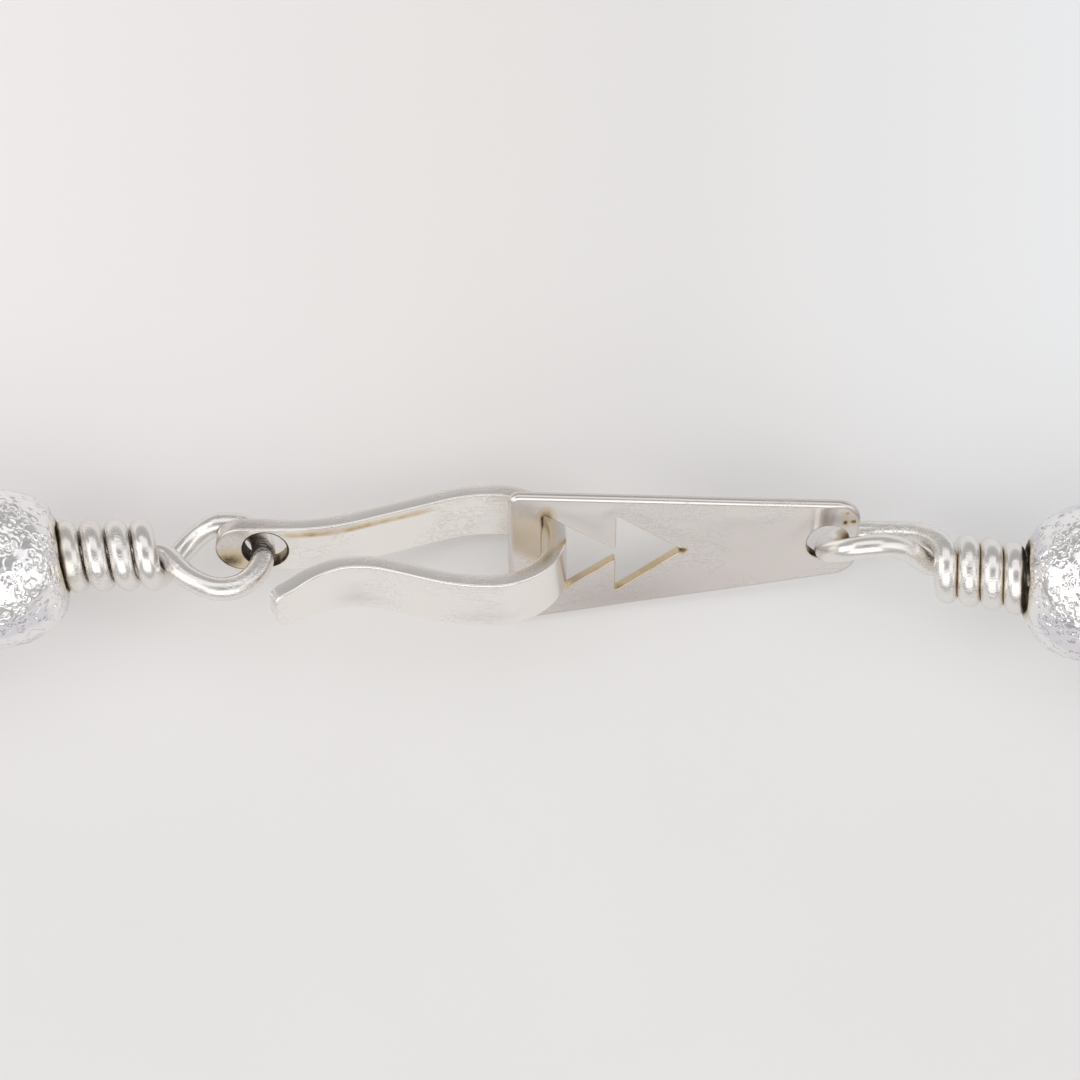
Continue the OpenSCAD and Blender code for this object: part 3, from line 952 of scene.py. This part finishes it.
def chain_points(centres, ways, starts):
    """The chain: a twisted, scaled cord that passes midway between facing bead holes.

    Its radius is a two-start screw of round scales along the length.
    """
    reach = math.sqrt(BEAD_R ** 2 - HOLE_R ** 2)
    toward_next = ways.copy()
    toward_next[:-1] *= -1
    toward_last = ways.copy()
    toward_last[-1] *= -1
    gates = (centres[:-1] + reach * toward_next[:-1] + centres[1:] + reach * toward_last[1:]) / 2
    ends = [start + CHAIN_CLEAR * unit(gate - start)
            for start, gate in zip(starts, (gates[0], gates[-1]))]
    knots = np.concatenate([[ends[0]], gates, [ends[1]]])
    run = length_along(knots)
    along = np.arange(0, run[-1], CHAIN_STEP)
    path = np.column_stack([np.interp(along, run, knots[:, i]) for i in range(3)])
    soft = np.array([1, 4, 6, 4, 1]) / 16
    for _ in range(4):
        padded = np.concatenate([path[:1], path[:1], path, path[-1:], path[-1:]])
        path = sum(w * padded[i:i + len(path)] for i, w in enumerate(soft))

    def radius(at, angle):
        scale = np.abs(np.sin(angle + at * math.pi / CHAIN_SCREW))
        return CHAIN_R * (0.8 + 0.2 * scale)

    return swept(path, radius, CHAIN_SIDES)


# Pieces

centres, hole_ways = bead_layout()

hook_at, hook_quads, hook_fill, (hs, hv, hh, hook_edge) = hook_points()
plate_at, plate_quads, plate_fill, (ps, pv, plate_edge) = plate_points()
links = {side: link_points(side, seed) for side, seed in LINK_SEEDS.items()}


def spots(s, v, rows):
    """Soft oval patches added up: rows of (middle s, middle v, reach s, reach v, strength)."""
    return sum(strength * bell(s - s0, reach_s) * bell(v - v0, reach_v)
               for s0, v0, reach_s, reach_v, strength in rows)


def clipped(**shades):
    """Each named shade held between 0 and 1."""
    return {name: np.clip(values, 0, 1) for name, values in shades.items()}


# Dark marks on the strap's inner face, the first two painted shade inside the bend round the
# plate's crossbar; dark marks on the plate, the first painted shade where the strap passes,
# the others small spots by the slot's tip and by the eye; and the plate's greyer patches, the
# first a painted reflection darkening its lower left, the second a patch by the eye, partly
# rubbed and partly a painted reflection of the wire
HOOK_MARKS = [
    (26.3, 1.3, 0.3, 0.9, 1.4),
    (26.6, 1.6, 2.0, 0.8, 0.3),
    (1.0, -1.1, 1.3, 0.9, 0.7),
]
PLATE_MARKS = [
    (0.6, 4.2, 0.5, 0.7, 0.9),
    (10.95, 0.0, 0.2, 0.22, 2.2),
    (23.15, 1.75, 0.2, 0.2, 1.6),
    (23.15, 2.65, 0.15, 0.15, 1.5),
    (23.8, 1.8, 0.15, 0.3, 1.3),
]
PLATE_GREYS = [
    (6.0, -4.5, 8.0, 3.2, 0.5),
    (22.7, 2.2, 1.4, 0.65, 0.7),
]

bend_start, bend_end = STRAP_KNOTS[BEND_ROW], STRAP_KNOTS[BEND_ROW + 1]
from_hole = np.hypot(hs - TONGUE_HOLE_S, hv)
in_bend = smooth(hs, bend_start - 1, bend_start + 4) * (1 - smooth(hs, bend_end - 3, bend_end + 1))
inner_face = hh < 0
# Tarnish and painted shade on the hook: painted shade where the wire and the plate come close, on
# the inside of the bend and in the tongue's hole; dark marks; a browner lower edge at the tongue's
# end; and a golden streak under the top edge.
hook_shade = (
    0.35 * bell(nearest(hook_at, links["left"][0][::5]), 0.3)
    + bell(nearest(hook_at, plate_at[::4]), 0.4)
    + np.where(inner_face, 0.24, 0.02) * in_bend
    + inner_face * spots(hs, hv, HOOK_MARKS)
    + 1.1 * (from_hole < TONGUE_HOLE_R + 0.16)
    + 0.75 * hook_edge * (hs < 2.4) * smooth(-hv, -0.6, 0.4)
    + 0.55 * inner_face * (1 - hook_edge) * bell(hv - 1.5, 0.2)
    * smooth(hs, 4.5, 6.0) * (1 - smooth(hs, 15.0, 18.0))
)
# Greying of the hook: greyer at the tongue's end and at the start of the bend, and a little on the
# edges, a painted reflection.
hook_dull = (0.05 + 0.1 * hook_edge + 0.55 * (1 - smooth(hs, 2.0, 6.0))
             + 0.3 * smooth(hs, bend_start - 1, bend_start + 2)
             * (1 - smooth(hs, bend_start + 6, bend_end)))
make_piece("bent_hook", hook_at, hook_quads, hook_fill, "hook", clasp_silver,
           clipped(tarnish=hook_shade, dull=hook_dull))

from_eye = np.hypot(ps - PLATE_EYE_X, pv - PLATE_EYE_V)
by_slot = (np.abs(pv) < 4.75) * (np.abs(ps - 5.7) < 5.6)
# Tarnish and painted shade on the plate: painted shade where the wire and the hook come close and
# in the eye's lower wall, dark marks, and painted darker golden edges round the pierced slot.
plate_shade = (
    0.3 * bell(nearest(plate_at, links["right"][0][::5]), 0.3)
    + 0.7 * bell(nearest(plate_at, hook_at[::4]), 0.35)
    + spots(ps, pv, PLATE_MARKS)
    + 0.8 * (from_eye < PLATE_EYE_R + 0.15) * smooth(-pv, 0.2, 1.2)
    + 0.35 * plate_edge * by_slot
)
# Greying of the plate: an even grey of its own; painted reflection, darker at the lower left and
# lighter on the upper side; painted reflection on the edges; and the patch by the eye.
plate_dull = (0.5 + spots(ps, pv, PLATE_GREYS) - 0.2 * smooth(pv, 1.0, 5.0)
              + 0.3 * plate_edge)
make_piece("pierced_catch_plate", plate_at, plate_quads, plate_fill, "catch_plate",
           clasp_silver, clipped(tarnish=plate_shade, dull=plate_dull))

bead_ends = {"left": centres[0], "right": centres[-1]}
# Where the wires bear on the clasp: round the tongue's hole and the eye's lower half
clasp_at = np.concatenate([hook_at[(from_hole < 2.2) & (hook_edge > 0)],
                           plate_at[(from_eye < 1.9) & (pv < 0) & (plate_edge > 0)]])
for side, (at, quads, fans, clear) in links.items():
    clear = np.maximum(clear, 0)
    from_bead = np.maximum(np.linalg.norm(at - bead_ends[side], axis=1) - BEAD_R, 0)
    # Tarnish and painted shade on the wires: painted shade in the gaps between strands, next to
    # the bead and where the wires bear on the clasp.
    shade = (0.4 * bell(clear, 0.07) + 0.12 * bell(clear, 0.25) + 0.1 * bell(from_bead, 0.3)
             + 0.8 * bell(nearest(at, clasp_at), 0.6))
    make_piece(f"wire_link_{side}", at, quads, fans, f"link_{side}",
               wire_silver, clipped(tarnish=shade))

wire_starts = [link_path(**LINKS[side])[0] for side in ("left", "right")]
chain_at, chain_quads, chain_fans = chain_points(centres, hole_ways, wire_starts)[:3]
make_piece("twisted_chain", chain_at, chain_quads, chain_fans, "chain",
           chain_silver, clipped(tarnish=np.full(len(chain_at), 0.12)))

# The beads in view are cut and marked more finely; marks are (count, sizes, depth)
SHOWN_GRID = dict(rows=190, columns=400, marks=(700, (0.15, 0.40), 0.06))
OTHER_GRID = dict(rows=46, columns=100, marks=(200, (0.3, 0.6), 0.06))
PLAIN_HOLE = dict(top_r=HOLE_R, worn_back=0.0, dimple=0.0)
LINK_HOLES = {
    0: dict(top_r=2.55, worn_back=0.05, dimple=0.45),
    BEAD_COUNT - 1: dict(top_r=2.6, worn_back=0.0, dimple=0.2),
}
RELIEF_SEED = 100
PATCH_SEED = 300
for i in range(BEAD_COUNT):
    hole, grid = PLAIN_HOLE, OTHER_GRID
    if i in LINK_HOLES:
        hole, grid = LINK_HOLES[i], SHOWN_GRID
    at, quads, rim_gap, lift, skin, ways = bead_points(
        centres[i], hole_ways[i], seed=RELIEF_SEED + i, **hole, **grid)
    # Tarnish and painted shade on the beads: painted shade round the hole rims and over the inner
    # wall, and darker in the deepest pits.
    shade = (0.45 * bell(np.maximum(rim_gap, 0), 0.35)
             + np.where(skin > 0, 0.5 * np.clip(-lift - 0.08, 0, 0.2), 0.4))
    make_piece(f"textured_bead_{i + 1:02d}", at, quads, np.empty((0, 3), int),
               f"bead_{i + 1:02d}", bead_silver,
               clipped(tarnish=shade, dull=grey_patches(ways, PATCH_SEED + i)))


# Floor, light and camera

FLOOR_R = 2.0
FLOOR_SIDES = 96
FLOOR_GLOW = 0.40
FLOOR_GREYS = [(0.594, 0.584, 0.576, 1), (0.606, 0.598, 0.592, 1)]
# The floor's colour at the back, from left to right: painted light, lighter toward both sides
FLOOR_BACK_PAINTED_LIGHT = [
    (0.0, (0.665, 0.642, 0.643)),
    (0.45, (0.61, 0.595, 0.585)),
    (0.6, (0.60, 0.59, 0.583)),
    (1.0, (0.638, 0.652, 0.664)),
]

# Each soft light: place, (width, height), power and colour
PANEL_AIM = Vector((0, 0.06, 0))
PANELS = {
    "back_panel": ((0.0, 0.40, 0.62), (0.9, 0.5), 0.95, (1, 0.99, 0.98)),
    "front_panel": ((0.0, -0.38, 0.42), (0.8, 0.45), 1.06, (1, 0.99, 0.97)),
    "left_panel": ((-0.45, 0.05, 0.35), (0.5, 0.5), 0.7, (1, 0.985, 0.98)),
    "right_panel": ((0.45, 0.05, 0.30), (0.45, 0.5), 0.42, (0.98, 0.99, 1)),
}

# The tent's colour from the table's level (0.5) up to straight overhead (1.0)
FRONT_SKY = [
    (0.5, (0.66, 0.65, 0.64)),
    (0.6, (0.80, 0.79, 0.785)),
    (0.70, (1.0, 0.99, 0.98)),
    (0.95, (1.0, 0.99, 0.99)),
    (0.992, (0.70, 0.69, 0.71)),
    (1.0, (0.55, 0.54, 0.56)),
]
BACK_SKY = [
    (0.5, (0.88, 0.86, 0.85)),
    (0.62, (0.80, 0.785, 0.78)),
    (0.8, (0.66, 0.65, 0.66)),
    (1.0, (0.55, 0.54, 0.56)),
]
SKY_STRENGTH = 0.59

# The camera, in metres and degrees
CLASP_MIDDLE = Vector((0.00023, 0.06726, 0.0053))
CAMERA_ELEVATION = 80.0
CAMERA_DISTANCE = 0.210
FRAME_WIDTH = 0.081


def floor_material():
    """Pale board that glows a little, painted lighter on both sides at the back, warm left, cool
    right.
    """
    material = bpy.data.materials.new("pale_floor")
    material.use_nodes = True
    tree = material.node_tree
    shader = tree.nodes["Principled BSDF"]
    split = place_node(tree, "ShaderNodeSeparateXYZ", {0: own_place(tree)})
    side = colour_ramp(tree, remap(tree, split.outputs[0], -0.05, 0.05), FLOOR_BACK_PAINTED_LIGHT)
    back = remap(tree, split.outputs[1], 0.045, 0.085)
    even = mix_colour(tree, remap(tree, noise(tree, 40.0, 3.0), 0.3, 0.7), *FLOOR_GREYS)
    colour = mix_colour(tree, back, even, side)
    tree.links.new(colour, shader.inputs["Base Color"])
    tree.links.new(colour, shader.inputs["Emission Color"])
    shader.inputs["Emission Strength"].default_value = FLOOR_GLOW
    shader.inputs["Roughness"].default_value = 0.9
    shader.inputs["Specular IOR Level"].default_value = 0.2
    return material


def make_floor():
    """A round floor, four metres across, that the beads lie on."""
    angle = 2 * math.pi * np.arange(FLOOR_SIDES) / FLOOR_SIDES
    ring = np.column_stack([np.cos(angle), np.sin(angle), 0 * angle]) * FLOOR_R
    mesh = bpy.data.meshes.new("floor")
    mesh.from_pydata(ring.tolist(), [], [list(range(FLOOR_SIDES))])
    mesh.materials.append(floor_material())
    floor = bpy.data.objects.new("floor", mesh)
    bpy.context.collection.objects.link(floor)


def add_panel(name, place, size, power, colour):
    """A rectangular soft light at a place, in metres, turned toward the clasp."""
    lamp = bpy.data.lights.new(name, "AREA")
    lamp.shape = "RECTANGLE"
    lamp.size, lamp.size_y = size
    lamp.energy = power
    lamp.color = colour
    panel = bpy.data.objects.new(name, lamp)
    panel.location = place
    panel.rotation_mode = "QUATERNION"
    panel.rotation_quaternion = (PANEL_AIM - Vector(place)).to_track_quat("-Z", "Y")
    bpy.context.collection.objects.link(panel)


def make_sky():
    """A pale tent: white in front from low to nearly overhead, greyer at the back."""
    world = bpy.data.worlds.new("tent")
    world.use_nodes = True
    tree = world.node_tree
    where = place_node(tree, "ShaderNodeTexCoord")
    split = place_node(tree, "ShaderNodeSeparateXYZ", {0: where.outputs["Generated"]})
    height = remap(tree, split.outputs[2], -1.0, 1.0)
    front, back = colour_ramp(tree, height, FRONT_SKY), colour_ramp(tree, height, BACK_SKY)
    share = remap(tree, split.outputs[1], -0.12, 0.12)
    background = tree.nodes["Background"]
    tree.links.new(mix_colour(tree, share, front, back), background.inputs["Color"])
    background.inputs["Strength"].default_value = SKY_STRENGTH
    bpy.context.scene.world = world


def make_camera():
    """The camera looks steeply down on the clasp from the front, 81 mm of it in view."""
    lens = bpy.data.cameras.new("camera")
    lens.sensor_width = 36.0
    lens.lens = lens.sensor_width * CAMERA_DISTANCE / FRAME_WIDTH
    lens.clip_start, lens.clip_end = 0.01, 20.0
    camera = bpy.data.objects.new("camera", lens)
    e = math.radians(CAMERA_ELEVATION)
    back = Vector((0, -math.cos(e), math.sin(e)))
    camera.location = CLASP_MIDDLE + back * CAMERA_DISTANCE
    camera.rotation_mode = "QUATERNION"
    camera.rotation_quaternion = (-back).to_track_quat("-Z", "Y")
    bpy.context.collection.objects.link(camera)
    bpy.context.scene.camera = camera


make_floor()
make_sky()
for name, panel in PANELS.items():
    add_panel(name, *panel)
make_camera()
bpy.context.scene.view_settings.view_transform = "Standard"
